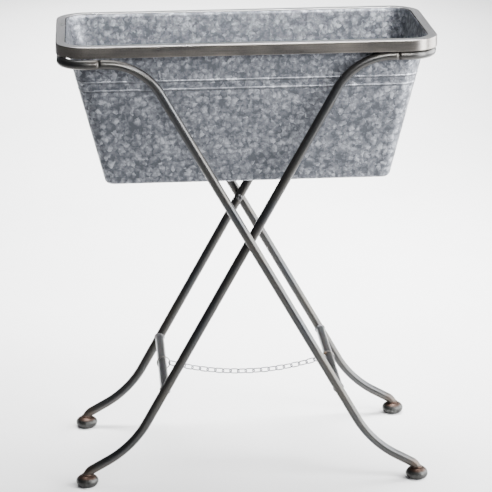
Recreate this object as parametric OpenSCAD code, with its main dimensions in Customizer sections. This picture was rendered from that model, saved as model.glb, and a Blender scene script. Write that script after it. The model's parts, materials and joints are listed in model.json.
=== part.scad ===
// Raised planter: a tapered sheet-metal tub in a folding X stand of round tube.
// Millimetres. X runs along the tub, -Y is the front, +Z is up.
// The origin is on the floor under the middle.

/* [Tub] */
// Overall height, from the floor to the top of the rim
overall_height = 786; // [655:0.1:960]
// Length of the rim, outside
rim_length = 640; // [530:0.1:780]
// Width of the rim, outside
rim_width = 290; // [240:0.1:350]
// Outside corner radius of the rim in plan
rim_corner_r = 51; // [42:1:62]
// Width of the flat top of the rim
flange_w = 16; // [14:0.5:19]
// Height of the rim band
skirt_h = 19.5; // [16:0.5:24]
// Sheet thickness of the rim band
rim_sheet = 1.2; // [0.8:0.1:1.6]
// Depth of the tub, from the top of the rim to its underside
tub_depth = 248; // [205:0.1:300]
// Sheet thickness of the tub wall and base
tub_sheet = 1.2; // [0.8:0.1:1.6]
// How much each end leans in from top to bottom
end_taper = 60; // [40:1:72]
// How much each long side leans in from top to bottom
side_taper = 25; // [15:1:32]
// Corner radius of the tub at its base
base_corner_r = 16; // [10:1:24]
// Depth of the upper pressed line below the rim top
bead_upper = 65; // [45:1:80]
// Distance between the two pressed lines
bead_pitch = 15; // [10:1:20]
// Height of one pressed line
bead_h = 3; // [2:0.5:4]
// How far a pressed line stands out of the sheet
bead_out = 0.5; // [0.3:0.1:0.6]

/* [Stand tubes] */
// Outside diameter of the tube
tube_d = 16; // [13:0.1:19.5]
// Wall thickness of the tube
tube_wall = 1.2; // [1:0.1:1.8]
// Height of the pivot above the floor
pivot_height = 441.5; // [367:0.1:530]
// Bend radius between the end rail and the leg
upper_bend_r = 104; // [90:1:115]
// Bend radius between the leg and its ankle
lower_bend_r = 186; // [150:1:200]
// Steepness of the ankle, from the floor
ankle_slope = 29.3; // [26:0.1:32]
// Length of the straight part of the ankle
ankle_length = 31; // [20:0.5:45]
// Bend radius where the ankle turns down into the foot
foot_bend_r = 20; // [18:1:22]
// How far the rim's end stands out past the end rail
rail_cover = 1; // [0:0.5:4]
// Length of a side arm of the end rail, from its corner bend to the butt joint
rail_arm = 19.2; // [10:0.1:30]
// Corner radius of the end rail, to the middle of the tube
rail_corner_r = 42; // [36:1:48]
// Length of the reduced rail end that plugs into a leg
spigot_length = 10; // [8:1:14]
// Distance from the top of the ankle's bend up the leg to the cross rail
cross_rail_up = 64; // [40:0.5:90]

/* [Feet] */
// Diameter of a foot
foot_d = 39; // [32:1:40]
// Height of a foot
foot_h = 20; // [20:1:26]
// How far the tube goes down into a foot
foot_socket = 6; // [6:1:10]
// Radius of the foot's rounded side
foot_side_r = 9; // [7:0.5:10]
// Radius of the foot's domed top
foot_top_r = 16; // [14:0.5:17.5]

/* [Pivot] */
// Diameter of the pivot screw's shank
screw_d = 6; // [5:0.1:7.2]
// Diameter of the pivot screw's head
screw_head_d = 11; // [10:0.5:13]
// Height of the pivot screw's head
screw_head_h = 3.5; // [3:0.5:5]
// Wall thickness of the rivet nut's sleeve
rivet_nut_wall = 1.45; // [1.2:0.05:1.6]
// Length of the rivet nut's sleeve
rivet_nut_length = 10; // [8:0.5:11]
// How far the screw reaches into the rivet nut's sleeve
screw_grip = 8; // [6:0.5:8]
// Thickness of the rivet nut's flange
rivet_flange_t = 0.8; // [0.6:0.1:1]
// Thickness of the washer between the legs
washer_t = 1; // [0.8:0.1:1.6]
// Outside diameter of the washer and of the rivet nut's flange
washer_d = 13; // [12:0.5:15]

/* [Chain] */
// Wire diameter of a link
wire_d = 2; // [1.6:0.1:2.4]
// Outside width of a link
link_w = 12; // [10:0.5:13]
// Nominal pitch of the links; the real one divides the chain evenly
link_pitch = 13.8; // [12:0.1:17]
// How far the middle of the chain hangs below its ends
chain_sag = 21; // [10:1:26]
// Play between two links that pull on each other
link_play = 0.5; // [0.4:0.1:0.8]
// Room for a link between the cross rail and its wire ring
ring_room = 2.5; // [2:0.1:4]
// Head diameter of the screw that keeps the right ring in place
stop_head_d = 7; // [6:0.5:8]
// Head height of that screw
stop_head_h = 2.4; // [2:0.1:3]
// Shank diameter of that screw
stop_screw_d = 3; // [2.5:0.5:3.5]

/* [Clearances] */
// Gap between the rim and the rails it rests on
seat_gap = 0.3; // [0.2:0.1:0.5]
// Gap between the tub's long wall and the inner rail
wall_gap = 0.4; // [0.3:0.1:1]
// Radial gap of the pivot screw in its bores
pivot_fit = 0.05; // [0.03:0.01:0.08]
// Radial gap of a spigot in a leg
spigot_fit = 0.1; // [0.05:0.05:0.2]
// Gap between faces that turn on each other at the pivot
face_gap = 0.1; // [0.05:0.05:0.3]
// Gap between welded pieces, filled by the weld
weld_gap = 0.05; // [0.02:0.01:0.1]

/* [Hidden] */
$fn = 64;
bend_fn = 180;
wire_fn = 24;
tube_r = tube_d / 2;
bore_r = tube_r - tube_wall;

// Rim and tub
rim_x = rim_length / 2;
rim_y = rim_width / 2;
rim_bottom = overall_height - skirt_h;
mouth_x = rim_x - flange_w;
mouth_y = rim_y - flange_w;
mouth_r = rim_corner_r - flange_w;
tub_bottom = overall_height - tub_depth;
lip_top = overall_height - rim_sheet;
base_x = mouth_x - end_taper;
base_y = mouth_y - side_taper;
slice = 0.01;

// Stand: the two frames lie side by side in Y, with the pivot hardware between their legs
rail_z = rim_bottom - tube_r - seat_gap;
rail_x = rim_x - rail_cover - tube_r;
pivot_gap = rivet_flange_t + washer_t + 2 * face_gap;
inner_y = mouth_y - side_taper * (overall_height - rail_z) / tub_depth + tube_r + wall_gap;
outer_y = inner_y + tube_d + pivot_gap;

// The butt joint between rail and leg stands a spigot's length before the leg's upper bend
joint_margin = 1;
joint_x = rail_arm + rail_corner_r - rail_x;
bend_start_x = joint_x + spigot_length + joint_margin;

// Steepness of a leg whose straight part passes through the pivot and whose upper bend ends in the rail:
// with t = tan(angle / 2), rise * (1 - t^2) / (2 * t) + radius * t equals the bend's distance from the pivot
leg_rise = rail_z - pivot_height;
leg_root = sqrt(pow(bend_start_x, 2) + leg_rise * (leg_rise - 2 * upper_bend_r));
leg_angle = 2 * atan(leg_rise / (leg_root - bend_start_x));

// Centre line of a leg in its own X-Z plane, with the rail on the -X side and the foot on the +X side
corner_x = -leg_rise / tan(leg_angle);
upper_tangent = upper_bend_r * tan(leg_angle / 2);
leg_top = [corner_x + upper_tangent * cos(leg_angle), rail_z - upper_tangent * sin(leg_angle)];
knee_tangent = lower_bend_r * tan((leg_angle - ankle_slope) / 2);
tube_end_z = foot_h - foot_socket;
ankle_end_z = tube_end_z + foot_bend_r * cos(ankle_slope);
knee_z = ankle_end_z + (knee_tangent + ankle_length) * sin(ankle_slope);
knee_x = (pivot_height - knee_z) / tan(leg_angle);
leg_bottom = [knee_x - knee_tangent * cos(leg_angle), knee_z + knee_tangent * sin(leg_angle)];
ankle_end_x = knee_x + (knee_tangent + ankle_length) * cos(ankle_slope);
foot_arc = [ankle_end_x - foot_bend_r * sin(ankle_slope), tube_end_z];
foot_reach = foot_arc.x + foot_bend_r;
spigot_r = bore_r - spigot_fit;
spigot_bore_r = spigot_r - tube_wall;

// Hair-line between a straight and its bend
seam_gap = 0.2;
seam_lap = 0.2;
seam_step = 0.1;

// Cross rails lie on the legs' centre lines
cross_rail_height = leg_bottom.y + cross_rail_up * sin(leg_angle);
cross_x = (pivot_height - cross_rail_height) / tan(leg_angle);

// Rivet nuts
rivet_nut_r = screw_d / 2 + pivot_fit + rivet_nut_wall;

// Chain: a shallow parabola between the two rings
wire_r = wire_d / 2;
ring_bore_r = tube_r + ring_room;
ring_r = ring_bore_r + wire_r;
ring_shift = ring_bore_r - tube_r - face_gap;
chain_x = cross_x - ring_shift - ring_bore_r;
half_links = round(chain_x / link_pitch);
link_step = chain_x / half_links;
end_slope = atan(2 * chain_sag / chain_x);
link_inner = link_step / cos(end_slope) + link_play;
bow_r = link_w / 2 - wire_r;
link_straight = link_inner + wire_d - 2 * bow_r;

// Stop screw beside the right ring, on the upper inner face of the rail
stop_y = 2 * wire_d + stop_head_d / 2;
stop_tilt = 50;
stop_depth = tube_wall + 2;

module zinc() { color([0.62, 0.64, 0.67]) children(); }
module rim_steel() { color([0.38, 0.36, 0.34]) children(); }
module tube_steel() { color([0.33, 0.33, 0.34]) children(); }
module foot_steel() { color([0.30, 0.27, 0.25]) children(); }
module bright_steel() { color([0.70, 0.71, 0.72]) children(); }

// ---- shapes that repeat ----

// Rectangle with round corners, given by its half sizes
module round_rect(half_x, half_y, r) {
  square([2 * (half_x - r), 2 * half_y], center = true);
  square([2 * half_x, 2 * (half_y - r)], center = true);
  for (sx = [-1, 1], sy = [-1, 1]) translate([sx * (half_x - r), sy * (half_y - r)]) circle(r);
}

// Flat ring between two rounded rectangles that share their corner centres
module rect_ring(half_x, half_y, r_out, r_in) {
  difference() {
    round_rect(half_x, half_y, r_out);
    round_rect(half_x - r_out + r_in, half_y - r_out + r_in, r_in);
  }
}

// Half sizes and corner radius of the tub's outside at a depth below the rim top
function tub_half_x(depth) = mouth_x - end_taper * depth / tub_depth;
function tub_half_y(depth) = mouth_y - side_taper * depth / tub_depth;
function tub_corner(depth) = mouth_r - (mouth_r - base_corner_r) * depth / tub_depth;

// Solid between two depths of the tub, shrunk all round by inset
module tub_body(top, bottom, inset) {
  hull() {
    for (depth = [top, bottom]) {
      translate([0, 0, overall_height - depth - (depth == top ? slice : 0)])
        linear_extrude(slice)
          round_rect(tub_half_x(depth) - inset, tub_half_y(depth) - inset, tub_corner(depth) - inset);
    }
  }
}

module tube_section() {
  difference() {
    circle(tube_r);
    circle(bore_r);
  }
}

// Narrow ring in the tube's wall that joins a straight to its bend, leaving a hair-line between them
module seam_ring() {
  translate([0, 0, -seam_lap]) linear_extrude(seam_gap + 2 * seam_lap) difference() {
    circle(tube_r - seam_step);
    circle(bore_r + seam_step);
  }
}

// Tube that starts at the origin towards +Z; each step is [straight length, bend radius, bend angle].
// A positive angle bends towards +X and a negative one towards -X.
// Each step is drawn from the end of the last.
module tube_run(steps, i = 0) {
  length = steps[i][0];
  bend_r = steps[i][1];
  turn = abs(steps[i][2]);
  half_turn = steps[i][2] < 0 ? 180 : 0;
  from = i > 0 ? seam_gap : 0;
  to = length - (turn > 0 ? seam_gap : 0);
  translate([0, 0, from]) linear_extrude(to - from) tube_section();
  if (i > 0) seam_ring();
  translate([0, 0, length]) rotate([0, 0, half_turn]) {
    if (turn > 0) {
      mirror([0, 0, 1]) seam_ring();
      translate([bend_r, 0, 0])
        rotate([90, 0, 180])
          rotate_extrude(angle = turn, $fn = bend_fn) translate([bend_r, 0]) tube_section();
    }
    if (i + 1 < len(steps))
      translate([bend_r, 0, 0]) rotate([0, turn, 0]) translate([-bend_r, 0, 0]) rotate([0, 0, -half_turn])
        tube_run(steps, i + 1);
  }
}

// Solid rod with the leg's outside shape near its foot, larger all round by a gap
module ankle_rod(gap) {
  translate([foot_arc.x, 0, foot_arc.y])
    rotate([90, 0, 0])
      rotate_extrude(angle = 90 - ankle_slope, $fn = bend_fn)
        translate([foot_bend_r, 0]) circle(tube_r + gap);
}

// Leg of the outer frame about y = 0, without its pivot hole
module leg_tube() {
  translate([joint_x, 0, rail_z]) rotate([0, 90, 0]) tube_run([
    [bend_start_x - joint_x, upper_bend_r, leg_angle],
    [norm(leg_bottom - leg_top), lower_bend_r, ankle_slope - leg_angle],
    [ankle_length, foot_bend_r, 90 - ankle_slope]
  ]);
}

// Rod along Y at the pivot
module pivot_rod(r, y_from, y_to) {
  translate([0, y_from, pivot_height]) rotate([-90, 0, 0]) cylinder(h = y_to - y_from, r = r);
}

// Outer leg: only its inner wall is drilled, for the rivet nut
module outer_leg() {
  difference() {
    leg_tube();
    pivot_rod(rivet_nut_r + weld_gap, 0, tube_d);
  }
}

// Inner leg: drilled right through for the screw
module inner_leg() {
  difference() {
    mirror([1, 0, 0]) leg_tube();
    pivot_rod(screw_d / 2 + pivot_fit, -tube_d, tube_d);
  }
}

// Reduced end of a rail, towards +Z, with the shoulder that joins it to the tube behind
module spigot() {
  translate([0, 0, -tube_wall]) linear_extrude(spigot_length + tube_wall) difference() {
    circle(spigot_r);
    circle(spigot_bore_r);
  }
  translate([0, 0, -tube_wall]) linear_extrude(tube_wall / 2) difference() {
    circle(bore_r + tube_wall / 2);
    circle(spigot_r - tube_wall / 2);
  }
}

// End rail on the +X side: a U of tube with a spigot at each open end
module end_rail(y) {
  translate([-joint_x, -y, rail_z]) rotate([90, 0, 90]) tube_run([
    [rail_arm, rail_corner_r, 90],
    [2 * (y - rail_corner_r), rail_corner_r, 90],
    [rail_arm, 0, 0]
  ]);
  for (sy = [-1, 1]) translate([-joint_x, sy * y, rail_z]) rotate([0, -90, 0]) spigot();
}

// Cross rail: a plain tube, coped at both ends to sit against its legs
module cross_rail(sx, y) {
  difference() {
    translate([sx * cross_x, y, cross_rail_height])
      rotate([90, 0, 0]) linear_extrude(2 * y) tube_section();
    for (sy = [-1, 1]) {
      translate([sx * cross_x, sy * y, cross_rail_height])
        rotate([0, -sx * (90 - leg_angle), 0])
          cylinder(h = 4 * tube_d, r = tube_r + weld_gap, center = true);
    }
  }
}

// Foot: a flattened ball with a flat sole and a socket for the tube
module foot() {
  difference() {
    translate([foot_reach, 0, 0])
      rotate_extrude() {
        intersection() {
          union() {
            square([foot_d / 2 - foot_side_r, 2 * foot_side_r]);
            translate([foot_d / 2 - foot_side_r, foot_side_r]) circle(foot_side_r);
            translate([0, foot_h - foot_top_r]) circle(foot_top_r);
          }
          square([foot_d, foot_h]);
        }
      }
    ankle_rod(weld_gap);
  }
}

// One chain link about its own centre: long axis X, bows in the X-Y plane
module link() {
  for (s = [-1, 1]) {
    translate([s * link_straight / 2, 0, 0])
      rotate([0, 0, s > 0 ? -90 : 90])
        rotate_extrude(angle = 180) translate([bow_r, 0]) circle(wire_r, $fn = wire_fn);
    translate([-link_straight / 2, s * bow_r, 0])
      rotate([0, 90, 0]) cylinder(h = link_straight, r = wire_r, $fn = wire_fn);
  }
}

// Links of one half of the chain, counted from the left end
module chain_half(first) {
  for (i = [first : first + half_links - 1]) {
    x = -chain_x + (i + 0.5) * link_step;
    z = cross_rail_height - chain_sag * (1 - pow(x / chain_x, 2));
    slope = atan(2 * chain_sag * x / pow(chain_x, 2));
    translate([x, 0, z]) rotate([0, -slope, 0]) rotate([i % 2 == 0 ? 45 : -45, 0, 0]) link();
  }
}

// Wire ring round a cross rail, pulled towards the chain
module rail_ring(sx) {
  translate([sx * (cross_x - ring_shift), 0, cross_rail_height])
    rotate([90, 0, 0]) rotate_extrude() translate([ring_r, 0]) circle(wire_r, $fn = wire_fn);
}

// Shank bore of the stop screw, on the right rail
module stop_rod(r, from, to) {
  translate([cross_x, stop_y, cross_rail_height])
    rotate([0, -stop_tilt, 0]) translate([0, 0, from]) cylinder(h = to - from, r = r);
}

// ---- tub ----

// Tapered wall with two raised lines, and a lip that lies under the rim band
module tub_wall() {
  wall_top = rim_sheet + tub_sheet / 2;
  lip_r = mouth_r - tub_sheet - tub_sheet / 2;
  zinc() {
    difference() {
      union() {
        tub_body(wall_top, tub_depth, 0);
        for (depth = [bead_upper, bead_upper + bead_pitch]) {
          tub_body(depth - bead_h / 2, depth + bead_h / 2, -bead_out);
        }
      }
      tub_body(wall_top - bead_h, tub_depth + bead_h, tub_sheet);
    }
    translate([0, 0, lip_top - tub_sheet])
      linear_extrude(tub_sheet)
        rect_ring(rim_x - rim_sheet, rim_y - rim_sheet, rim_corner_r - rim_sheet, lip_r);
  }
}

// Base plate, set inside the wall's bottom edge
module tub_base() {
  zinc() {
    translate([0, 0, tub_bottom])
      linear_extrude(tub_sheet)
        round_rect(base_x - tub_sheet, base_y - tub_sheet, base_corner_r - tub_sheet);
  }
}

// Rim band: a flat top, an outer skirt and a return underneath that rests on the rails
module tub_rim() {
  half_sheet = rim_sheet / 2;
  rim_steel() {
    translate([0, 0, lip_top])
      linear_extrude(rim_sheet) rect_ring(rim_x, rim_y, rim_corner_r, mouth_r - tub_sheet);
    translate([0, 0, rim_bottom])
      linear_extrude(skirt_h - rim_sheet)
        rect_ring(rim_x, rim_y, rim_corner_r, rim_corner_r - rim_sheet);
    translate([0, 0, rim_bottom])
      linear_extrude(rim_sheet)
        rect_ring(rim_x - half_sheet, rim_y - half_sheet, rim_corner_r - half_sheet, mouth_r + wall_gap);
  }
}

// ---- outer frame: its end rail wraps the left end, its feet stand on the right ----

module outer_end_rail() { tube_steel() mirror([1, 0, 0]) end_rail(outer_y); }
module outer_front_leg() { tube_steel() translate([0, -outer_y, 0]) outer_leg(); }
module outer_back_leg() { tube_steel() translate([0, outer_y, 0]) mirror([0, 1, 0]) outer_leg(); }
module outer_front_foot() { foot_steel() translate([0, -outer_y, 0]) foot(); }
module outer_back_foot() { foot_steel() translate([0, outer_y, 0]) foot(); }

module outer_cross_rail() {
  tube_steel() difference() {
    cross_rail(1, outer_y);
    stop_rod(stop_screw_d / 2 + weld_gap, 0, tube_d);
  }
}

// Rivet nuts, blind in the outer legs, that take the pivot screws
module outer_rivet_nuts() {
  face = outer_y - tube_r;
  bright_steel() for (side = [0, 1]) mirror([0, side, 0]) {
    difference() {
      union() {
        pivot_rod(rivet_nut_r, -face - rivet_nut_length, -face);
        pivot_rod(washer_d / 2, -face, -face + rivet_flange_t);
      }
      pivot_rod(screw_d / 2 + pivot_fit, -outer_y - tube_r, 0);
    }
  }
}

// ---- inner frame: its end rail wraps the right end, its feet stand on the left ----

module inner_end_rail() { tube_steel() end_rail(inner_y); }
module inner_front_leg() { tube_steel() translate([0, -inner_y, 0]) inner_leg(); }
module inner_back_leg() { tube_steel() translate([0, inner_y, 0]) inner_leg(); }
module inner_front_foot() { foot_steel() mirror([1, 0, 0]) translate([0, -inner_y, 0]) foot(); }
module inner_back_foot() { foot_steel() mirror([1, 0, 0]) translate([0, inner_y, 0]) foot(); }
module inner_cross_rail() { tube_steel() cross_rail(-1, inner_y); }

// ---- pivot ----

// Screws, put in from between the legs, with their points in the rivet nuts
module pivot_screws() {
  seat = inner_y - tube_r - face_gap;
  point = outer_y - tube_r + screw_grip;
  bright_steel() for (side = [0, 1]) mirror([0, side, 0]) {
    pivot_rod(screw_d / 2, -point, -seat);
    pivot_rod(screw_head_d / 2, -seat, -seat + screw_head_h);
  }
}

module pivot_washers() {
  from = inner_y + tube_r + face_gap / 2;
  bright_steel() for (side = [0, 1]) mirror([0, side, 0]) {
    difference() {
      pivot_rod(washer_d / 2, -from - washer_t, -from);
      pivot_rod(screw_d / 2 + pivot_fit, -outer_y, 0);
    }
  }
}

// ---- chain ----

module chain_left_links() { bright_steel() chain_half(0); }
module chain_right_links() { bright_steel() chain_half(half_links); }
module chain_left_ring() { tube_steel() rail_ring(-1); }
module chain_right_ring() { tube_steel() rail_ring(1); }

module ring_stop_screw() {
  foot_steel() {
    stop_rod(stop_screw_d / 2, tube_r - stop_depth, tube_r + face_gap);
    stop_rod(stop_head_d / 2, tube_r + face_gap, tube_r + face_gap + stop_head_h);
  }
}

tub_wall();
tub_base();
tub_rim();
outer_end_rail();
outer_front_leg();
outer_back_leg();
outer_cross_rail();
outer_front_foot();
outer_back_foot();
outer_rivet_nuts();
inner_end_rail();
inner_front_leg();
inner_back_leg();
inner_cross_rail();
inner_front_foot();
inner_back_foot();
pivot_screws();
pivot_washers();
chain_left_links();
chain_right_links();
chain_left_ring();
chain_right_ring();
ring_stop_screw();
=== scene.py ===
import bmesh
import bpy
import json
import numpy as np
from mathutils import Matrix, Vector
from math import radians


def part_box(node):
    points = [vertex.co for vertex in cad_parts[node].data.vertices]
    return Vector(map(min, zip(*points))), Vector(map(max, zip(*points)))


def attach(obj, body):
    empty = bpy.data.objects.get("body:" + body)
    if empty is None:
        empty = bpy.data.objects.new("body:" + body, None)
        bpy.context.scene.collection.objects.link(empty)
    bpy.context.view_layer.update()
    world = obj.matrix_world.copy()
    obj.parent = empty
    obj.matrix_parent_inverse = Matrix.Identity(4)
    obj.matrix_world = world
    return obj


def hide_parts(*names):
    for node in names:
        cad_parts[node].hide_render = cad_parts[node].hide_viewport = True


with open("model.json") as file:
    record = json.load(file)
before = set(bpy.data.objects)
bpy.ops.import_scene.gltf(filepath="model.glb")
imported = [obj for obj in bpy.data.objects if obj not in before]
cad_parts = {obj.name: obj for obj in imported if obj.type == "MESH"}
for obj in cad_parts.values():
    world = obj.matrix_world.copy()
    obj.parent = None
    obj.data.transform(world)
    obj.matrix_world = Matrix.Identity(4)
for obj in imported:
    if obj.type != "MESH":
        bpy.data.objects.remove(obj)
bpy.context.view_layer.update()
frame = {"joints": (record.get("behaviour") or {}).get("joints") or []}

# places that the frame gives
rimLow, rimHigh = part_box("tub_rim")
baseLow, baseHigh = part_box("tub_base")
outerFootLow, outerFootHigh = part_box("outer_front_foot")
innerFootLow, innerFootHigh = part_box("inner_front_foot")
leftRail = next(j["pos_m"] for j in frame["joints"] if j["name"] == "chain_left_hang")
rightRail = next(j["pos_m"] for j in frame["joints"] if j["name"] == "chain_right_hang")
pivotHeight = next(j["pos_m"][2] for j in frame["joints"] if j["name"] == "outer_fold")
outerY = -(outerFootLow.y + outerFootHigh.y) / 2
innerY = -(innerFootLow.y + innerFootHigh.y) / 2
footX = (outerFootLow.x + outerFootHigh.x) / 2


# degrees, metres and the lens in millimetres
cameraView = {
    "yaw": 4.18, "pitch": 17.85, "roll": -0.45, "distance": 3.764, "lens": 155.5,
    "aim": (0.002, 0, 0.389), "far": 30,
}


def makeCamera(view):
    yaw, pitch, roll = (radians(view[k]) for k in ("yaw", "pitch", "roll"))
    forward = Vector((np.sin(yaw) * np.cos(pitch), np.cos(yaw) * np.cos(pitch), -np.sin(pitch)))
    level = Vector((np.cos(yaw), -np.sin(yaw), 0))
    up = level.cross(forward)
    right = level * np.cos(roll) + up * np.sin(roll)
    up = right.cross(forward)
    data = bpy.data.cameras.new("mainView")
    data.lens = view["lens"]
    data.clip_end = view["far"]
    camera = bpy.data.objects.new("mainView", data)
    turn = Matrix((right, up, -forward)).transposed().to_4x4()
    camera.matrix_world = Matrix.Translation(Vector(view["aim"]) - forward * view["distance"]) @ turn
    bpy.context.scene.collection.objects.link(camera)
    bpy.context.scene.camera = camera


makeCamera(cameraView)
print("camera set")


# A sheet of quads over points[i, j]; closeU joins the last row of i to the first, closeV the last of j.
# merge welds points that coincide, which closes a pole.
# uv has one more entry than points along each closed direction, so a pattern runs on over the join.
# A closed sheet whose signed volume comes out negative is inside out, and its quads are turned round.
def gridMesh(name, points, uv=None, closeU=True, closeV=True, attributes=None, merge=False):
    nu, nv = points.shape[:2]
    rows, columns = np.arange(nu if closeU else nu - 1), np.arange(nv if closeV else nv - 1)
    i, j = (a.ravel() for a in np.meshgrid(rows, columns, indexing="ij"))
    corners = ((i, j), (i + 1, j), (i + 1, j + 1), (i, j + 1))
    index = np.stack([(a % nu) * nv + b % nv for a, b in corners], 1)
    first, second, third, fourth = points.reshape(-1, 3)[index.T]
    if closeU and np.sum(first * (np.cross(second, third) + np.cross(third, fourth))) < 0:
        corners, index = corners[::-1], index[:, ::-1]
    mesh = bpy.data.meshes.new(name)
    mesh.vertices.add(nu * nv)
    mesh.vertices.foreach_set("co", np.ascontiguousarray(points, np.float32).ravel())
    mesh.loops.add(index.size)
    mesh.loops.foreach_set("vertex_index", index.astype(np.int32).ravel())
    mesh.polygons.add(len(index))
    mesh.polygons.foreach_set("loop_start", np.arange(0, index.size, 4, dtype=np.int32))
    mesh.polygons.foreach_set("use_smooth", np.ones(len(index), bool))
    if uv is not None:
        layer = mesh.uv_layers.new(name="surface")
        layer.data.foreach_set("uv", np.stack([uv[a, b] for a, b in corners], 1).astype(np.float32).ravel())
    for key, values in (attributes or {}).items():
        layer = mesh.attributes.new(key, "FLOAT", "POINT")
        layer.data.foreach_set("value", values.astype(np.float32).ravel())
    mesh.update(calc_edges=True)
    if merge:
        work = bmesh.new()
        work.from_mesh(mesh)
        bmesh.ops.remove_doubles(work, verts=work.verts, dist=1e-6)
        work.to_mesh(mesh)
        work.free()
    mesh.validate()
    return mesh


# One mesh out of several that have the same UV map and attributes.
def joinMeshes(name, meshes):
    objects = [bpy.data.objects.new(name, m) for m in meshes]
    for o in objects:
        bpy.context.scene.collection.objects.link(o)
    with bpy.context.temp_override(active_object=objects[0], selected_editable_objects=objects):
        bpy.ops.object.join()
    return objects[0]


# Puts a finished piece on its body, in place of its CAD node.
def piece(name, meshes, body, replaced, material):
    obj = joinMeshes(name, meshes)
    obj.name = name
    obj.data.name = name
    obj.data.materials.clear()
    obj.data.materials.append(material)
    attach(obj, body)
    if replaced:
        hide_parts(*replaced)
    return obj


# A line in a plane that starts level and is carried through steps of (straight length, bend radius, turn).
# A positive turn bends it downwards. Returns the points, their headings and the bend share at each.
def bentPath(start, steps, gap=0.004):
    points, headings, bends = [], [], []
    at, heading = np.array(start, float), 0.0
    for length, radius, turn in steps:
        along = np.linspace(0, length, max(2, int(length / gap)), endpoint=False)
        ahead = np.array([np.cos(heading), -np.sin(heading)])
        points.append(at + along[:, None] * ahead)
        headings.append(np.full(len(along), heading))
        bends.append(np.zeros(len(along)))
        at = at + length * ahead
        if turn:
            sign = np.sign(turn)
            centre = at + sign * radius * np.array([-np.sin(heading), -np.cos(heading)])
            count = max(6, int(abs(turn) * radius / gap * 2))
            angle = heading + np.linspace(0, turn, count, endpoint=False)
            points.append(centre + sign * radius * np.stack([np.sin(angle), np.cos(angle)], 1))
            headings.append(angle)
            bends.append(np.sin(np.linspace(0, np.pi, count)) ** 0.5)
            heading += turn
            at = centre + sign * radius * np.array([np.sin(heading), np.cos(heading)])
    points.append(at[None])
    headings.append(np.array([heading]))
    bends.append(np.zeros(1))
    return np.vstack(points), np.concatenate(headings), np.concatenate(bends)


def smoothStep(x, low, high):
    t = np.clip((x - low) / (high - low), 0, 1)
    return t * t * (3 - 2 * t)


# A node material under construction; add() makes a node, sets its values and links what is a socket.
class Finish:

    def __init__(self, name):
        self.material = bpy.data.materials.new(name)
        self.material.use_nodes = True
        self.tree = self.material.node_tree
        self.shader = self.tree.nodes["Principled BSDF"]
        self.object = self.tree.nodes.new("ShaderNodeTexCoord").outputs["Object"]

    def put(self, socket, value):
        if isinstance(value, bpy.types.NodeSocket):
            self.tree.links.new(value, socket)
        else:
            socket.default_value = value

    def add(self, kind, settings=None, **values):
        node = self.tree.nodes.new("ShaderNode" + kind)
        for key, value in (settings or {}).items():
            setattr(node, key, value)
        for key, value in values.items():
            self.put(node.inputs[int(key[1:]) if key[1:].isdigit() else key.replace("_", " ")], value)
        return node

    def noise(self, vector, scale, detail=3.0, rough=0.5, distortion=0.0):
        return self.add("TexNoise", Vector=vector, Scale=scale, Detail=detail, Roughness=rough,
                        Distortion=distortion).outputs["Fac"]

    def math(self, operation, a, b=0.0, c=0.0, clamp=False):
        return self.add("Math", {"operation": operation, "use_clamp": clamp}, i0=a, i1=b, i2=c).outputs[0]

    def ramp(self, value, stops):
        node = self.add("ValToRGB", Fac=value)
        elements = node.color_ramp.elements
        while len(elements) < len(stops):
            elements.new(0.5)
        for element, (position, colour) in zip(elements, stops):
            element.position = position
            element.color = (*colour, 1) if hasattr(colour, "__len__") else (colour, colour, colour, 1)
        return node.outputs["Color"]

    def mix(self, factor, a, b, blend="MIX"):
        node = self.add("Mix", {"data_type": "RGBA", "blend_type": blend}, i0=factor)
        self.put(node.inputs[6], (*a, 1) if isinstance(a, tuple) else a)
        self.put(node.inputs[7], (*b, 1) if isinstance(b, tuple) else b)
        return node.outputs[2]

    def shrink(self, vector, x, y, z):
        return self.add("Mapping", i0=vector, Scale=(x, y, z)).outputs[0]

    def attribute(self, name):
        return self.add("Attribute", {"attribute_name": name}).outputs["Fac"]

    def surface(self):
        return self.add("UVMap", {"uv_map": "surface"}).outputs["UV"]

    def bump(self, height, strength, distance, below=None):
        node = self.add("Bump", Height=height, Strength=strength, Distance=distance)
        if below is not None:
            self.put(node.inputs["Normal"], below)
        return node.outputs["Normal"]

    def done(self, **values):
        for key, value in values.items():
            socket = self.shader.inputs[key.replace("_", " ")]
            self.put(socket, (*value, 1) if isinstance(value, tuple) and len(value) == 3 else value)
        return self.material


galvanised = {
    "crystalSize": 0.0095, "fineSize": 0.0042, "patchSize": 0.09, "ragged": 0.010,
    "dark": (0.066, 0.071, 0.082), "middle": (0.150, 0.158, 0.178), "pale": (0.40, 0.415, 0.45),
    # the colour below is painted shade, put in the line under each pressed bead
    "beadShade": (0.035, 0.036, 0.040),
}
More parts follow.
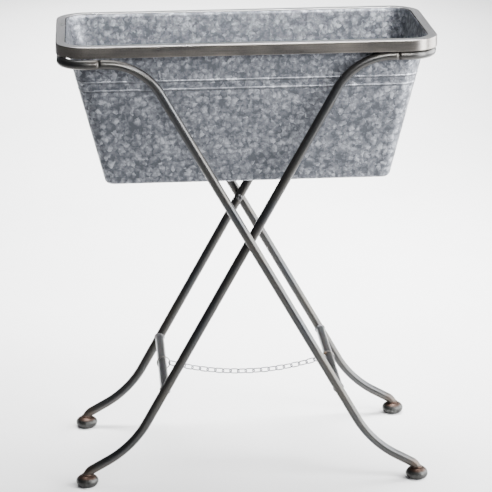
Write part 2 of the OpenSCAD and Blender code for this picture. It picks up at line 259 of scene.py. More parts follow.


# Hot-dip spangle, with a painted shade line under each pressed bead and a painted highlight on its upper
# slope. Crystal cells with ragged edges each get their own shade and a slope from one side to the other, like
# a shallow scale; smaller cells and broad cloudy patches are added on top.
def galvanisedFinish(name, values):
    f = Finish(name)
    wander = f.add("TexNoise", Vector=f.object, Scale=0.9 / values["crystalSize"], Detail=3.0)
    bent = f.add("VectorMath", {"operation": "MULTIPLY_ADD"}, i0=wander.outputs["Color"],
                 i1=(values["ragged"],) * 3, i2=f.object).outputs[0]

    def crystals(size):
        cell = f.add("TexVoronoi", Vector=bent, Scale=1 / size)
        fromMiddle = f.add("VectorMath", {"operation": "SUBTRACT"}, i0=bent, i1=cell.outputs["Position"])
        lean = f.add("VectorMath", {"operation": "SUBTRACT"}, i0=cell.outputs["Color"], i1=(0.5, 0.5, 0.5))
        slope = f.add("VectorMath", {"operation": "DOT_PRODUCT"},
                      i0=fromMiddle.outputs[0], i1=lean.outputs[0])
        shade = f.add("SeparateColor", i0=cell.outputs["Color"]).outputs[0]
        return shade, f.math("MULTIPLY", slope.outputs["Value"], 1 / size), cell.outputs["Distance"]

    shade, slope, distance = crystals(values["crystalSize"])
    fineShade, fineSlope, _ = crystals(values["fineSize"])
    cloud = f.noise(f.object, 1 / values["patchSize"], 4.0, 0.6)
    soft = f.noise(f.object, 1.1 / values["crystalSize"], 4.0, 0.62, 0.5)
    value = f.math("MULTIPLY_ADD", shade, 0.24, f.math("MULTIPLY", slope, 0.62))
    value = f.math("ADD", value, f.math("MULTIPLY", f.math("SUBTRACT", 0.6, distance), 0.30))
    value = f.math("ADD", value, f.math("MULTIPLY_ADD", fineShade, 0.16, f.math("MULTIPLY", fineSlope, 0.26)))
    value = f.math("ADD", value, f.math("MULTIPLY", f.math("SUBTRACT", soft, 0.5), 0.95))
    value = f.math("ADD", value, f.math("MULTIPLY", f.math("SUBTRACT", cloud, 0.5), 0.34))
    value = f.math("ADD", value, 0.22)
    colour = f.ramp(value, [(0.20, values["dark"]), (0.50, values["middle"]), (0.86, values["pale"])])
    # painted highlight on the upper slope of each bead, then painted shade in the line under it
    colour = f.mix(f.math("MULTIPLY", f.attribute("beadTopHighlight"), 0.12), colour, values["pale"])
    colour = f.mix(f.math("MULTIPLY", f.attribute("beadUnderShade"), 0.80), colour, values["beadShade"])
    rough = f.add("MapRange", i0=value, i1=0.25, i2=0.8, i3=0.50, i4=0.38).outputs[0]
    grain = f.noise(f.object, 900, 2.0)
    normal = f.bump(value, 0.35, 0.0007, f.bump(grain, 0.08, 0.0003))
    return f.done(Base_Color=colour, Metallic=0.80, Roughness=rough, Normal=normal)


tubGalvanised = galvanisedFinish("galvanisedSpangle", galvanised)

bandValues = {
    "base": (0.155, 0.146, 0.137), "warm": (0.215, 0.195, 0.175), "pale": (0.62, 0.62, 0.63),
    "streak": 0.0009,
}


# Brushed band: fine streaks along it, broad warm and cool patches, and a painted highlight in pale on the
# flat top.
def bandFinish(name, values):
    f = Finish(name)
    streaks = f.noise(f.shrink(f.surface(), 9, 1 / values["streak"], 1), 1.0, 4.0, 0.65)
    patch = f.noise(f.shrink(f.surface(), 9, 30, 1), 1.0, 3.0, 0.6, 0.4)
    speck = f.noise(f.object, 420, 2.0, 0.7)
    top = f.attribute("paintedTopHighlight")
    colour = f.mix(f.ramp(patch, [(0.36, 0.0), (0.66, 1.0)]), values["base"], values["warm"])
    # pale on the flat top is a painted highlight
    colour = f.mix(top, colour, values["pale"])
    colour = f.mix(0.6, colour, f.ramp(streaks, [(0.25, 0.55), (0.75, 1.35)]), "MULTIPLY")
    colour = f.mix(0.25, colour, f.ramp(speck, [(0.35, 0.6), (0.62, 1.3)]), "MULTIPLY")
    rough = f.add("MapRange", i0=patch, i1=0.3, i2=0.7, i3=0.26, i4=0.36).outputs[0]
    normal = f.bump(streaks, 0.12, 0.0004)
    return f.done(Base_Color=colour, Metallic=0.95, Roughness=rough, Normal=normal)


rimBand = bandFinish("brushedBand", bandValues)

tubeValues = {"cool": (0.048, 0.050, 0.053), "warm": (0.060, 0.056, 0.050), "heat": (0.058, 0.045, 0.036),
              "rubbed": (0.15, 0.14, 0.13)}


# Lacquered tube: lengthwise draw streaks, warm and cool drifts, brown and rougher by the welds.
def tubeFinish(name, values):
    f = Finish(name)
    streaks = f.noise(f.shrink(f.surface(), 14, 600, 1), 1.0, 3.0, 0.6)
    drift = f.noise(f.shrink(f.surface(), 8, 30, 1), 1.0, 3.0, 0.6, 0.6)
    speck = f.noise(f.object, 650, 3.0, 0.7)
    scuff = f.noise(f.shrink(f.surface(), 60, 260, 1), 1.0, 4.0, 0.7, 0.8)
    weld = f.attribute("weldShare")
    ragged = f.math("MULTIPLY", weld, f.math("ADD", 0.5, f.noise(f.object, 95, 3.0)), clamp=True)
    colour = f.mix(f.ramp(drift, [(0.36, 0.0), (0.64, 1.0)]), values["cool"], values["warm"])
    colour = f.mix(0.55, colour, f.ramp(streaks, [(0.2, 0.62), (0.8, 1.3)]), "MULTIPLY")
    colour = f.mix(f.ramp(scuff, [(0.62, 0.0), (0.78, 0.55)]), colour, values["rubbed"])
    colour = f.mix(f.ramp(ragged, [(0.25, 0.0), (0.95, 0.85)]), colour, values["heat"])
    colour = f.mix(0.3, colour, f.ramp(speck, [(0.35, 0.6), (0.65, 1.25)]), "MULTIPLY")
    rough = f.math("MULTIPLY_ADD", drift, 0.14, f.math("MULTIPLY_ADD", ragged, 0.10, 0.27))
    normal = f.bump(speck, 0.05, 0.0002, f.bump(streaks, 0.03, 0.0002))
    return f.done(Base_Color=colour, Metallic=0.92, Roughness=rough, Normal=normal)


standTube = tubeFinish("drawnTube", tubeValues)
crossTube = tubeFinish("paleTube", dict(tubeValues, cool=(0.135, 0.138, 0.146), warm=(0.150, 0.144, 0.136)))

footValues = {"base": (0.024, 0.024, 0.023), "rust": (0.047, 0.029, 0.022), "pale": (0.052, 0.052, 0.050)}


# Forged foot: mottled pewter with a brown heat ring round the tube and rubbed high spots.
def footFinish(name, values):
    f = Finish(name)
    mottle = f.noise(f.object, 130, 4.0, 0.6, 0.3)
    fine = f.noise(f.object, 700, 3.0, 0.7)
    weld = f.attribute("weldShare")
    ragged = f.math("MULTIPLY", weld, f.math("ADD", 0.55, f.noise(f.object, 160, 3.0)), clamp=True)
    colour = f.mix(f.ramp(mottle, [(0.38, 0.0), (0.68, 1.0)]), values["base"], values["pale"])
    colour = f.mix(f.ramp(ragged, [(0.25, 0.0), (0.75, 1.0)]), colour, values["rust"])
    colour = f.mix(0.4, colour, f.ramp(fine, [(0.35, 0.6), (0.65, 1.25)]), "MULTIPLY")
    rough = f.add("MapRange", i0=mottle, i1=0.3, i2=0.7, i3=0.36, i4=0.50).outputs[0]
    normal = f.bump(mottle, 0.25, 0.0008, f.bump(fine, 0.15, 0.0003))
    return f.done(Base_Color=colour, Metallic=0.85, Roughness=rough, Normal=normal)


forgedFoot = footFinish("forgedFoot", footValues)


# Zinc plating: small cloudy shades with dull specks.
def platedFinish(name, base, dull, metallic=0.95, rough=0.26):
    f = Finish(name)
    cloud = f.noise(f.object, 220, 3.0, 0.6)
    speck = f.noise(f.object, 1500, 3.0, 0.7)
    colour = f.mix(f.ramp(cloud, [(0.35, 0.0), (0.7, 1.0)]), base, dull)
    colour = f.mix(0.35, colour, f.ramp(speck, [(0.35, 0.65), (0.62, 1.2)]), "MULTIPLY")
    rougher = f.add("MapRange", i0=cloud, i1=0.3, i2=0.7, i3=rough, i4=rough + 0.16).outputs[0]
    return f.done(Base_Color=colour, Metallic=metallic, Roughness=rougher, Normal=f.bump(speck, 0.12, 0.0002))


chainZinc = platedFinish("brightZinc", (0.17, 0.175, 0.19), (0.09, 0.093, 0.10))
hardwareZinc = platedFinish("platedHardware", (0.075, 0.075, 0.077), (0.045, 0.045, 0.046), 0.9, 0.34)
ringWire = platedFinish("greyWire", (0.20, 0.19, 0.18), (0.11, 0.10, 0.095), 0.9, 0.36)
brownScrew = platedFinish("brownedScrew", (0.20, 0.14, 0.09), (0.10, 0.07, 0.05), 0.8, 0.4)
print("finishes made")


tub = {
    "flange": 0.016, "cornerRim": 0.051, "cornerMouth": 0.035, "cornerBase": 0.016,
    "sheet": 0.0012, "beadDepths": (0.065, 0.080), "beadHalf": 0.0021, "beadOut": 0.0006,
    "skirt": 0.0195, "bandSheet": 0.0012, "bandBend": 0.0022, "bottomRound": 0.006, "floorInset": 0.0043,
}
rimX, rimY, rimTop = rimHigh.x, rimHigh.y, rimHigh.z
mouthX, mouthY = rimX - tub["flange"], rimY - tub["flange"]
baseX, baseY, baseZ = baseHigh.x, baseHigh.y, baseLow.z
tubDepth = rimTop - baseZ


# A rectangle with round corners, anticlockwise from the middle of the +X side's lower end.
# All arguments but the counts can be arrays of one value per ring; returns points[around, ring, 2]
# and the distance round the mean ring.
def roundRect(halfX, halfY, corner, arcCount=20, sideCount=36):
    halfX, halfY, corner = (np.atleast_1d(np.asarray(v, float)) for v in (halfX, halfY, corner))
    parts = []
    for k, (sx, sy) in enumerate(((1, 1), (-1, 1), (-1, -1), (1, -1))):
        angle = (k + np.linspace(0, 1, arcCount)) * np.pi / 2
        x = sx * (halfX - corner) + corner * np.cos(angle)[:, None]
        y = sy * (halfY - corner) + corner * np.sin(angle)[:, None]
        parts.append(np.stack([x, y], 2))
    ring = []
    for k in range(4):
        here, after = parts[k], parts[(k + 1) % 4]
        share = np.linspace(0, 1, sideCount + 2)[1:-1, None, None]
        ring += [here, here[-1:] * (1 - share) + after[:1] * share]
    points = np.concatenate(ring)
    mean = points.mean(1)
    step = np.linalg.norm(np.diff(np.vstack([mean, mean[:1]]), axis=0), axis=1)
    return points, np.concatenate([[0], np.cumsum(step)])


# Points of the tub's tapered body: at each depth a round rectangle between the mouth's and the base's,
# shrunk by inset.
def tubSurface(depth, inset):
    share = depth / tubDepth
    halfX = mouthX + (baseX - mouthX) * share - inset
    halfY = mouthY + (baseY - mouthY) * share - inset
    corner = tub["cornerMouth"] + (tub["cornerBase"] - tub["cornerMouth"]) * share - inset
    flat, around = roundRect(halfX, halfY, corner)
    z = np.broadcast_to(rimTop - depth, flat.shape[:2])
    return np.dstack([flat, z]), around


# How far the two pressed lines stand out at each depth: a raised cosine over each.
def bead(depth):
    out = np.zeros_like(depth)
    for middle in tub["beadDepths"]:
        t = np.clip(np.abs(depth - middle) / tub["beadHalf"], 0, 1)
        out += tub["beadOut"] * (0.5 + 0.5 * np.cos(np.pi * t))
    return out


# The wall's outline is one loop: down the outside with its beads, round the bottom edge in a quarter circle,
# back along the sheet's inner face, and up the inside.
def tubWallMesh():
    sheet, bend = tub["sheet"], tub["bottomRound"]
    top = sheet * 1.6
    turnAt = tubDepth - bend
    beadZone = np.linspace(tub["beadDepths"][0] - 0.004, tub["beadDepths"][1] + 0.004, 56)
    outside = np.concatenate([np.linspace(top, beadZone[0], 14)[:-1], beadZone,
                              np.linspace(beadZone[-1], turnAt, 30)[1:]])
    outInset = -bead(outside)
    bendAngle = np.linspace(0, 1.42, 12)[1:]
    under = np.concatenate([turnAt + bend * np.sin(bendAngle),
                            turnAt + (bend - sheet) * np.sin(bendAngle[::-1])])
    underInset = np.concatenate([bend - bend * np.cos(bendAngle),
                                 bend - (bend - sheet) * np.cos(bendAngle[::-1])])
    inside = np.concatenate([np.linspace(turnAt, beadZone[-1], 24), beadZone[::-1][1:],
                             np.linspace(beadZone[0], top, 12)[1:]])
    inInset = sheet - bead(inside)
    lipAngle = np.linspace(0, 1, 5)[1:-1]
    lip = np.full(3, top - 0.0004)
    lipInset = sheet * (1 - lipAngle)
    depth = np.concatenate([outside, under, inside, lip])
    inset = np.concatenate([outInset, underInset, inInset, lipInset])
    points, around = tubSurface(depth, inset)
    # the two shares mark the painted shade line under each bead and the painted highlight on its upper slope
    beadUnderShade, beadTopHighlight = np.zeros_like(depth), np.zeros_like(depth)
    for middle in tub["beadDepths"]:
        beadUnderShade = np.maximum(beadUnderShade, np.exp(-((depth - middle - tub["beadHalf"]) / 0.0010) ** 2))
        beadTopHighlight = np.maximum(beadTopHighlight, np.exp(-((depth - middle + 0.0004) / 0.0009) ** 2))
    beadLight = {"beadUnderShade": np.broadcast_to(beadUnderShade, points.shape[:2]),
            "beadTopHighlight": np.broadcast_to(beadTopHighlight, points.shape[:2])}
    along = np.concatenate([[0], np.cumsum(np.hypot(np.diff(depth), np.diff(inset)))])
    along = np.append(along, along[-1] + 0.001)
    uv = np.dstack(np.meshgrid(around, along, indexing="ij"))
    return gridMesh("wall", points, uv, attributes=beadLight)


# The base plate, seen from above and below: rings shrink evenly towards the middle, where they meet in a
# pole. A stiffening step of half a millimetre runs round it, and its edge lies within the wall's bottom bend.
def tubFloorMesh():
    sheet = tub["sheet"]
    share = np.concatenate([np.linspace(0, 0.80, 16), np.linspace(0.82, 0.90, 10), np.linspace(0.92, 1, 6)])
    edge = tub["floorInset"]
    halfX, halfY, corner = baseX - edge, baseY - edge, tub["cornerBase"] - edge
    flat, around = roundRect(halfX * share, halfY * share, corner * share)
    low = baseZ + 0.0004 + 0.0006 * (1 - smoothStep(share, 0.83, 0.88))
    over = np.dstack([flat, np.broadcast_to(low + sheet, flat.shape[:2])])
    under = np.dstack([flat, np.broadcast_to(low, flat.shape[:2])])
    points = np.concatenate([over, under[:, ::-1]], 1)
    uv = np.dstack(np.meshgrid(around, np.linspace(0, 0.5, points.shape[1]), indexing="ij"))
    return gridMesh("floor", points, uv, closeV=False, merge=True)


# The band's outline is one closed loop of sheet: in along the flat top, over the bend, down the skirt, round
# the bottom hem and in underneath, then back at the sheet's thickness.
def rimMesh():
    t, bend, low = tub["bandSheet"], tub["bandBend"], rimTop - tub["skirt"]
    quarter = np.linspace(0, np.pi / 2, 8)
    innerR = 0.0010
    # each entry is (inset from the rim's outside, height); the outer side first, then the inner one backwards
    top = np.stack([np.linspace(tub["flange"] - 0.0012, bend, 10)[:-1], np.full(9, rimTop)], 1)
    over = np.stack([bend - bend * np.sin(quarter), rimTop - bend + bend * np.cos(quarter)], 1)
    skirt = np.stack([np.zeros(8), np.linspace(rimTop - bend, low + innerR, 10)[1:-1]], 1)
    under = np.stack([innerR - innerR * np.cos(quarter), low + innerR - innerR * np.sin(quarter)], 1)
    back = np.stack([np.linspace(innerR, tub["flange"] - 0.0008, 7)[1:], np.full(6, low)], 1)
    backIn = np.stack([np.linspace(tub["flange"] - 0.0008, t + 0.0004, 6), np.full(6, low + t)], 1)
    skirtIn = np.stack([np.full(7, t), np.linspace(low + t + 0.0006, rimTop - t - 0.0008, 7)], 1)
    topIn = np.stack([np.linspace(t + 0.001, tub["flange"] - 0.0012, 8), np.full(8, rimTop - t)], 1)
    roll = np.linspace(0, np.pi, 6)[1:-1]
    mouth = np.stack([tub["flange"] - 0.0012 + t / 2 * np.sin(roll),
                      rimTop - t / 2 - t / 2 * np.cos(roll)], 1)
    outline = np.concatenate([top, over, skirt, under, back, backIn, skirtIn, topIn, mouth])
    inset, z = outline.T
    flat, around = roundRect(rimX - inset, rimY - inset, tub["cornerRim"] - inset, 24, 40)
    points = np.dstack([flat, np.broadcast_to(z, flat.shape[:2])])
    along = np.concatenate([[0], np.cumsum(np.hypot(*np.diff(np.vstack([outline, outline[:1]]), axis=0).T))])
    uv = np.dstack(np.meshgrid(around, along, indexing="ij"))
    # the flat top's share of the painted highlight
    paintedTopHighlight = smoothStep(z, rimTop - 0.0012, rimTop - 0.0002) * smoothStep(inset, 0.0, 0.0012)
    return gridMesh("band", points, uv, attributes={"paintedTopHighlight": np.broadcast_to(paintedTopHighlight, flat.shape[:2])})


piece("tubWall", [tubWallMesh()], "tub", ["tub_wall"], tubGalvanised)
piece("tubFloor", [tubFloorMesh()], "tub", ["tub_base"], tubGalvanised)
piece("rimBand", [rimMesh()], "tub", ["tub_rim"], rimBand)
print("tub made")


stand = {
    "tube": 0.008, "wall": 0.0012, "upperBend": 0.104, "lowerBend": 0.186, "footBend": 0.020,
    "slope": radians(60.67), "ankleSlope": radians(29.3), "ankle": 0.031, "footSocket": 0.006,
    "railCorner": 0.042, "railArm": 0.0192, "seat": 0.0003, "cover": 0.001,
}
railZ = rimLow.z - stand["tube"] - stand["seat"]
railX = rimX - stand["cover"] - stand["tube"]
jointX = stand["railArm"] + stand["railCorner"] - railX


# The leg's straights and bends, from the butt joint to the end inside the foot.
def legSteps():
    slope, ankleSlope = stand["slope"], stand["ankleSlope"]
    rise = railZ - pivotHeight
    upperTangent = stand["upperBend"] * np.tan(slope / 2)
    kneeTangent = stand["lowerBend"] * np.tan((slope - ankleSlope) / 2)
    ankleEndZ = outerFootHigh.z - stand["footSocket"] + stand["footBend"] * np.cos(ankleSlope)
    kneeZ = ankleEndZ + (kneeTangent + stand["ankle"]) * np.sin(ankleSlope)
    straight = (railZ - kneeZ) / np.sin(slope) - upperTangent - kneeTangent
    return [(-rise / np.tan(slope) - upperTangent - jointX, stand["upperBend"], slope),
            (straight, stand["lowerBend"], ankleSlope - slope),
            (stand["ankle"], stand["footBend"], np.pi / 2 - ankleSlope)]


# A tube of real wall thickness: rings of the outside along the path, then of the bore on the way back.
# A bend is flattened a little across, and each open end has a small chamfer. welds are distances along the
# path of the heat marks, as (distance, reach, strength).
def tubeMesh(name, flatPoints, headings, bends, welds, plane, mirrorX, offset, around=40):
    step = np.linalg.norm(np.diff(flatPoints, axis=0), axis=1)
    s = np.concatenate([[0], np.cumsum(step)])
    ends = np.minimum(s, s[-1] - s)
    outer = stand["tube"] - 0.0005 * (1 - smoothStep(ends, 0, 0.0007))
    bore = stand["tube"] - stand["wall"]
    path = np.concatenate([flatPoints, flatPoints[::-1]])
    heading = np.concatenate([headings, headings[::-1]])
    radius = np.concatenate([outer, np.full(len(s), bore)])
    squeeze = 1 - 0.035 * np.concatenate([bends, bends[::-1]])
    angle = np.linspace(0, 2 * np.pi, around, endpoint=False)[:, None]
    across = radius * squeeze * np.cos(angle)
    side = radius * np.sin(angle)
    a = path[:, 0] + across * np.sin(heading)
    b = path[:, 1] + across * np.cos(heading)
    if plane == "upright":
        points = np.dstack([a, side + offset, b])
    else:
        points = np.dstack([a, b, side + offset])
    if mirrorX:
        points = points * [-1, 1, 1]
    length = np.concatenate([s, s[-1] + 0.01 + s])
    length = np.append(length, length[-1] + 0.001)
    girth = np.linspace(0, 2 * np.pi * stand["tube"], around + 1)
    uv = np.dstack(np.meshgrid(girth, length, indexing="ij"))[..., ::-1]
    share = np.zeros_like(s)
    for middle, reach, strength in welds:
        share = np.maximum(share, strength * np.exp(-((s - middle) / reach) ** 2))
    share = np.broadcast_to(np.concatenate([share, share[::-1]]), points.shape[:2])
    return gridMesh(name, points, uv, attributes={"weldShare": share})


legPath, legHeadings, legBends = bentPath((jointX, railZ), legSteps())
legLength = np.concatenate([[0], np.cumsum(np.linalg.norm(np.diff(legPath, axis=0), axis=1))])
crossAt = legLength[np.argmin(np.hypot(legPath[:, 0] - rightRail[0], legPath[:, 1] - rightRail[2]))]
legWelds = [(0.0, 0.012, 0.35), (crossAt, 0.014, 0.35), (legLength[-1] - 0.012, 0.020, 0.9)]


def legPiece(name, node, body, y, mirrorX):
    mesh = tubeMesh(name, legPath, legHeadings, legBends, legWelds, "upright", mirrorX, y)
    return piece(name, [mesh], body, [node], standTube)


def railPiece(name, node, body, y, mirrorX):
    arm, corner = stand["railArm"], stand["railCorner"]
    steps = [(arm, corner, -np.pi / 2), (2 * (y - corner), corner, -np.pi / 2), (arm, 0, 0)]
    path, headings, bends = bentPath((-jointX, -y), steps)
    length = np.linalg.norm(np.diff(path, axis=0), axis=1).sum()
    welds = [(0.0, 0.030, 0.45), (length, 0.030, 0.45)]
    mesh = tubeMesh(name, path, headings, bends, welds, "level", mirrorX, railZ)
    return piece(name, [mesh], body, [node], standTube)


legPiece("outerFrontLeg", "outer_front_leg", "outer_frame", -outerY, False)
legPiece("outerBackLeg", "outer_back_leg", "outer_frame", outerY, False)
legPiece("innerFrontLeg", "inner_front_leg", "inner_frame", -innerY, True)
legPiece("innerBackLeg", "inner_back_leg", "inner_frame", innerY, True)
railPiece("outerEndRail", "outer_end_rail", "outer_frame", outerY, True)
railPiece("innerEndRail", "inner_end_rail", "inner_frame", innerY, False)
print("stand tubes made")


# A tube or rod whose outline turns about an axis. profile is rows of (distance along the axis, radius); along
# and across are the axis and one direction square to it. shape, if given, bends each ring out by a factor per
# angle.
def turned(name, profile, centre, along, across, around=48, shape=None, weldShare=None, merge=True):
    profile = np.asarray(profile, float)
    along, across = np.asarray(along, float), np.asarray(across, float)
    third = np.cross(along, across)
    angle = np.linspace(0, 2 * np.pi, around, endpoint=False)[:, None]
    radius = np.broadcast_to(profile[:, 1], (around, len(profile)))
    if shape is not None:
        radius = radius * shape(angle, profile[None, :, 0])
    points = (np.asarray(centre, float) + profile[None, :, 0, None] * along
              + (radius * np.cos(angle))[..., None] * across + (radius * np.sin(angle))[..., None] * third)
    run = np.concatenate([[0], np.cumsum(np.hypot(*np.diff(profile, axis=0).T))])
    girth = np.linspace(0, 2 * np.pi * profile[:, 1].max(), around + 1)
    uv = np.dstack(np.meshgrid(girth, run, indexing="ij"))[..., ::-1]
    share = np.zeros(len(profile)) if weldShare is None else weldShare(profile[:, 0])
    return gridMesh(name, points, uv, closeV=False, merge=merge,
                    attributes={"weldShare": np.broadcast_to(share, points.shape[:2])})


cross = {"tube": 0.008, "sink": 0.0004, "weld": 0.0017, "ripples": 30, "around": 64}
legDown = np.array([np.cos(stand["slope"]), 0, -np.sin(stand["slope"])])  # the outer legs' straight part


# The rail's outside runs from saddle to saddle: each end stops where it meets the leg, which is nearer by
# r|sin| of the angle from the leg's own direction. The two ends are closed by a pole inside the legs.
def crossRailMesh(name, x, z, y, down):
    r, count = cross["tube"], cross["around"]
    angle = np.linspace(0, 2 * np.pi, count, endpoint=False)[:, None]
    square = np.cross(down, [0, 1, 0])
    reach = y - r * np.abs(np.sin(angle)) + cross["sink"]
    share = np.concatenate([np.linspace(-1, -0.86, 8), np.linspace(-0.82, 0.82, 24),
                            np.linspace(0.86, 1, 8)])[None]
    radial = r * (np.cos(angle)[..., None] * square + np.sin(angle)[..., None] * down)
    side = radial + (reach * share)[..., None] * np.array([0, 1, 0])
    pole = np.array([0, 1, 0]) * (y - 0.001)
    first = np.broadcast_to(-pole, (count, 1, 3))
    last = np.broadcast_to(pole, (count, 1, 3))
    points = np.concatenate([first, side, last], 1) + np.array([x, 0, z])
    run = np.concatenate([[-y], share[0] * y, [y]])
    uv = np.dstack(np.meshgrid(np.linspace(0, 2 * np.pi * r, count + 1), run, indexing="ij"))[..., ::-1]
    weldShare = 0.35 * np.exp(-((y - np.abs(run)) / 0.014) ** 2)
    return gridMesh(name, points, uv, closeV=False, merge=True,
                    attributes={"weldShare": np.broadcast_to(weldShare, points.shape[:2])})


# A weld bead round a saddle: a small round section carried along the line where rail and leg meet, its radius
# rising and falling in small ripples.
def saddleWeld(name, x, z, y, down, side):
    r, count, sections = cross["tube"], 180, 10
    angle = np.linspace(0, 2 * np.pi, count, endpoint=False)
    square = np.cross(down, [0, 1, 0])
    out = np.cos(angle)[:, None] * square + np.sin(angle)[:, None] * down
    depth = y - r * np.sqrt(np.sin(angle) ** 2 + 0.05)
    middle = np.array([x, 0, z]) + r * out + side * depth[:, None] * np.array([0, 1, 0])
    ripple = 1 + 0.10 * np.cos(angle * cross["ripples"]) + 0.08 * np.cos(angle * 7 + x * 90)
    turn = np.linspace(0, 2 * np.pi, sections, endpoint=False)
    wide = cross["weld"] * ripple[:, None]
    points = (middle[:, None] + (wide * np.cos(turn))[..., None] * out[:, None]
              + (wide * np.sin(turn))[..., None] * np.array([0, side, 0]))
    run = np.linspace(0, 2 * np.pi * r, count + 1)
    uv = np.dstack(np.meshgrid(run, np.linspace(0, 0.01, sections + 1), indexing="ij"))
    return gridMesh(name, points, uv, attributes={"weldShare": np.full(points.shape[:2], 0.4)})


def crossPiece(name, node, body, place, y, down):
    x, z = place[0], place[2]
    meshes = [crossRailMesh(name, x, z, y, down)]
    meshes += [saddleWeld(name, x, z, y, down, side) for side in (-1, 1)]
    piece(name, meshes, body, [node], crossTube)


crossPiece("outerCrossRail", "outer_cross_rail", "outer_frame", rightRail, outerY, legDown)
crossPiece("innerCrossRail", "inner_cross_rail", "inner_frame", leftRail, innerY, legDown * [-1, 1, 1])
print("cross rails made")

foot = {"height": 0.020, "belly": 0.0195, "bellyAt": 0.0090, "under": 0.0126, "over": 0.0122, "neck": 0.0084,
        "weldHeight": 0.003}


# A forged ball foot: half an ellipse below the belly, cut off by the flat sole, and a lower one above it, up
# to the weld round the leg.
def footMesh(name, x, y):
    low, high = foot["bellyAt"], foot["height"] - foot["bellyAt"]
    z = low * (1 - np.cos(np.linspace(0.25, np.pi / 2, 12)))
    lower = np.stack([z - z[0], foot["belly"] * np.sqrt(1 - ((low - z) / foot["under"]) ** 2)], 1)
    sole = np.stack([np.zeros(5), np.linspace(0, lower[0, 1] - 0.0006, 5)], 1)
    z = high * np.sin(np.linspace(0, np.pi / 2, 16))
    dome = np.sqrt(1 - (z / foot["over"]) ** 2)
    upper = np.stack([low + z, np.maximum(foot["belly"] * dome, foot["neck"])], 1)
    w = np.linspace(0, 1, 8)[1:]
    bead = np.stack([foot["height"] - 0.0006 + foot["weldHeight"] * w,
                     foot["neck"] + 0.0012 * np.sin(np.pi * w) - 0.0006 * w], 1)
    close = np.array([[foot["height"] + foot["weldHeight"] - 0.0008, 0.0]])
    profile = np.concatenate([sole, lower[1:], upper[1:], bead, close])

    def hammered(angle, h):
        dents = 0.012 * np.sin(3 * angle + x * 40) * smoothStep(h, 0.001, 0.006)
        return 1 + dents + 0.006 * np.sin(7 * angle + y * 50)

    share = lambda h: smoothStep(h, 0.0125, 0.0195)
    return turned(name, profile, (x, y, 0), (0, 0, 1), (1, 0, 0), 56, hammered, share)


for name, node, body, x, y in (("outerFrontFoot", "outer_front_foot", "outer_frame", footX, -outerY),
                               ("outerBackFoot", "outer_back_foot", "outer_frame", footX, outerY),
                               ("innerFrontFoot", "inner_front_foot", "inner_frame", -footX, -innerY),
                               ("innerBackFoot", "inner_back_foot", "inner_frame", -footX, innerY)):
    piece(name, [footMesh(name, x, y)], body, [node], forgedFoot)
print("feet made")

screw = {"headHeight": 0.0035, "headRadius": 0.0055, "socket": 0.0019, "socketDepth": 0.0018, "shank": 0.003}


# A button head screw: a domed head, a hexagonal socket in its middle, and a shank through both legs.
def pivotScrewMesh(name, side):
    t = np.linspace(0, np.pi / 2, 12)
    h, big = screw["headHeight"], screw["headRadius"]
    deep, wide = screw["socketDepth"], screw["socket"]
    socket = [[deep, 0], [deep, wide], [0.0002, wide * 1.02]]
    dome = np.stack([(h - 0.0006) * (1 - np.cos(t)) + 0.0001, 0.0022 + (big - 0.0022) * np.sin(t) ** 0.9], 1)
    edge = [[h - 0.0002, big], [h, big - 0.0002], [h, screw["shank"]]]
    tip = outerY - innerY + stand["tube"] + h
    end = [[tip - 0.0005, screw["shank"]], [tip, screw["shank"] - 0.0005], [tip, 0]]
    profile = np.concatenate([socket, dome, edge, end])

    def hexagon(angle, s):
        wave = np.cos(np.pi / 6) / np.cos(np.mod(angle, np.pi / 3) - np.pi / 6)
        return np.where(np.arange(s.shape[1])[None] < 3, wave, 1.0)

    centre = (0, side * (innerY - stand["tube"] - h), pivotHeight)
    return turned(name, profile, centre, (0, side, 0), (1, 0, 0), 48, hexagon)


piece("pivotScrews", [pivotScrewMesh("screw", side) for side in (-1, 1)], "pivots", ["pivot_screws"],
      hardwareZinc)

chain = {"wire": 0.001, "bow": 0.005, "straight": 0.006894, "sag": 0.021, "half": 0.137678, "links": 10,
         "twists": (radians(27), radians(-63)), "ringRadius": 0.0115, "ringShift": 0.0024}


# One link: a wire carried round a stadium, two straights and two half circles, lying along the x axis.
def linkPoints(around=12):
    bow, half = chain["bow"], chain["straight"] / 2
    turn = np.linspace(-np.pi / 2, np.pi / 2, 14)
    facing = np.stack([np.cos(turn), np.sin(turn)], 1)
    right = bow * facing + np.array([half, 0])
    path = np.concatenate([right, -right])
    out = np.concatenate([facing, -facing])
    angle = np.linspace(0, 2 * np.pi, around, endpoint=False)
    flat = path[:, None] + chain["wire"] * np.cos(angle)[None, :, None] * out[:, None]
    lift = np.broadcast_to(chain["wire"] * np.sin(angle), flat.shape[:2])
    return np.dstack([flat, lift])


# The links hang on a parabola; each is turned to the chain's slope and twisted a quarter turn from the one
# before.
def chainMeshes(left):
    link = linkPoints()
    meshes = []
    for k in range(chain["links"]):
        x = chain["half"] * ((k + 0.5) / chain["links"] - (1 if left else 0))
        z = leftRail[2] - chain["sag"] * (1 - (x / chain["half"]) ** 2)
        slope = np.arctan(2 * chain["sag"] * x / chain["half"] ** 2)
        twist = chain["twists"][k % 2]
        px, py, pz = link[..., 0], link[..., 1], link[..., 2]
        qy = py * np.cos(twist) - pz * np.sin(twist)
        qz = py * np.sin(twist) + pz * np.cos(twist)
        moved = np.dstack([px * np.cos(slope) - qz * np.sin(slope), qy,
                           px * np.sin(slope) + qz * np.cos(slope)])
        meshes.append(gridMesh("link", moved + np.array([x, 0, z])))
    return meshes


# A wire ring round a cross rail: a small circle carried round a large one about the y axis.
def ringMesh(name, x, z):
    a = np.linspace(0, 2 * np.pi, 72, endpoint=False)[:, None]
    b = np.linspace(0, 2 * np.pi, 14, endpoint=False)[None]
    radius = chain["ringRadius"] + chain["wire"] * np.cos(b)
    points = np.dstack([x + radius * np.cos(a), np.broadcast_to(chain["wire"] * np.sin(b), (72, 14)),
                        z + radius * np.sin(a)])
    return gridMesh(name, points)


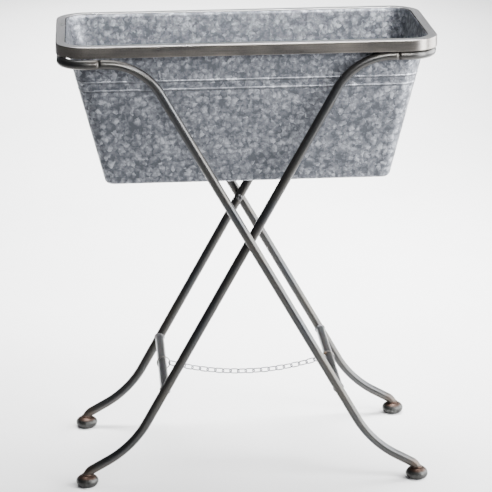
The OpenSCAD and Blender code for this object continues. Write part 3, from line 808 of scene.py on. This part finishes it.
piece("chainLeft", chainMeshes(True), "chain_left", ["chain_left_links"], chainZinc)
piece("chainRight", chainMeshes(False), "chain_right", ["chain_right_links"], chainZinc)
piece("ringLeft", [ringMesh("ring", leftRail[0] + chain["ringShift"], leftRail[2])], "chain_left",
      ["chain_left_ring"], ringWire)
piece("ringRight", [ringMesh("ring", rightRail[0] - chain["ringShift"], rightRail[2])], "chain_right",
      ["chain_right_ring"], ringWire)

for node, finish in (("pivot_washers", hardwareZinc), ("outer_rivet_nuts", hardwareZinc),
                     ("ring_stop_screw", brownScrew)):
    for slot in bpy.data.objects[node].material_slots:
        slot.material = finish
print("chain and fittings made")


studio = {"reach": 8.0, "back": 8.0, "sweep": 2.0, "height": 4.5}


# A level floor that curves up into a backdrop behind the object.
def makeFloor():
    t = np.linspace(0, np.pi / 2, 24)
    y = np.concatenate([[-studio["reach"]], studio["back"] - studio["sweep"] + studio["sweep"] * np.sin(t),
                        [studio["back"]]])
    z = np.concatenate([[0], studio["sweep"] * (1 - np.cos(t)), [studio["height"]]])
    x = np.linspace(-studio["reach"], studio["reach"], 3)
    points = np.dstack([np.broadcast_to(x[:, None], (3, len(y))), np.broadcast_to(y, (3, len(y))),
                        np.broadcast_to(z, (3, len(y)))])
    f = Finish("paleFloor")
    tone = f.ramp(f.noise(f.object, 3.0), [(0.3, 0.86), (0.7, 0.89)])
    material = f.done(Base_Color=tone, Roughness=0.7)
    mesh = gridMesh("floor", points, closeU=False, closeV=False)
    mesh.materials.append(material)
    floor = bpy.data.objects.new("floor", mesh)
    bpy.context.scene.collection.objects.link(floor)


def softbox(name, place, aim, width, height, power, spread=180):
    data = bpy.data.lights.new(name, "AREA")
    data.shape = "RECTANGLE"
    data.size, data.size_y, data.energy = width, height, power
    data.spread = radians(spread)
    light = bpy.data.objects.new(name, data)
    light.location = place
    light.rotation_euler = (Vector(aim) - Vector(place)).to_track_quat("-Z", "Y").to_euler()
    bpy.context.scene.collection.objects.link(light)


makeFloor()
softbox("keyRight", (1.65, -0.95, 0.95), (0, 0, 0.6), 0.7, 1.8, 70, 130)
softbox("sideRight", (2.0, 0.55, 0.85), (0, 0.1, 0.55), 1.7, 1.5, 85, 130)
softbox("topRight", (1.1, -0.9, 2.4), (0, 0, 0.7), 1.0, 0.8, 7, 60)
softbox("frontHigh", (0.5, -2.4, 1.95), (0, 0.1, 0.75), 0.8, 0.5, 6, 35)
softbox("floorAbove", (0.15, 2.3, 2.6), (0.15, 2.3, 0), 2.0, 4.2, 180, 60)
world = bpy.data.worlds.new("studioAir")
world.use_nodes = True
world.node_tree.nodes["Background"].inputs["Color"].default_value = (0.86, 0.90, 1.0, 1)
world.node_tree.nodes["Background"].inputs["Strength"].default_value = 0.14
bpy.context.scene.world = world
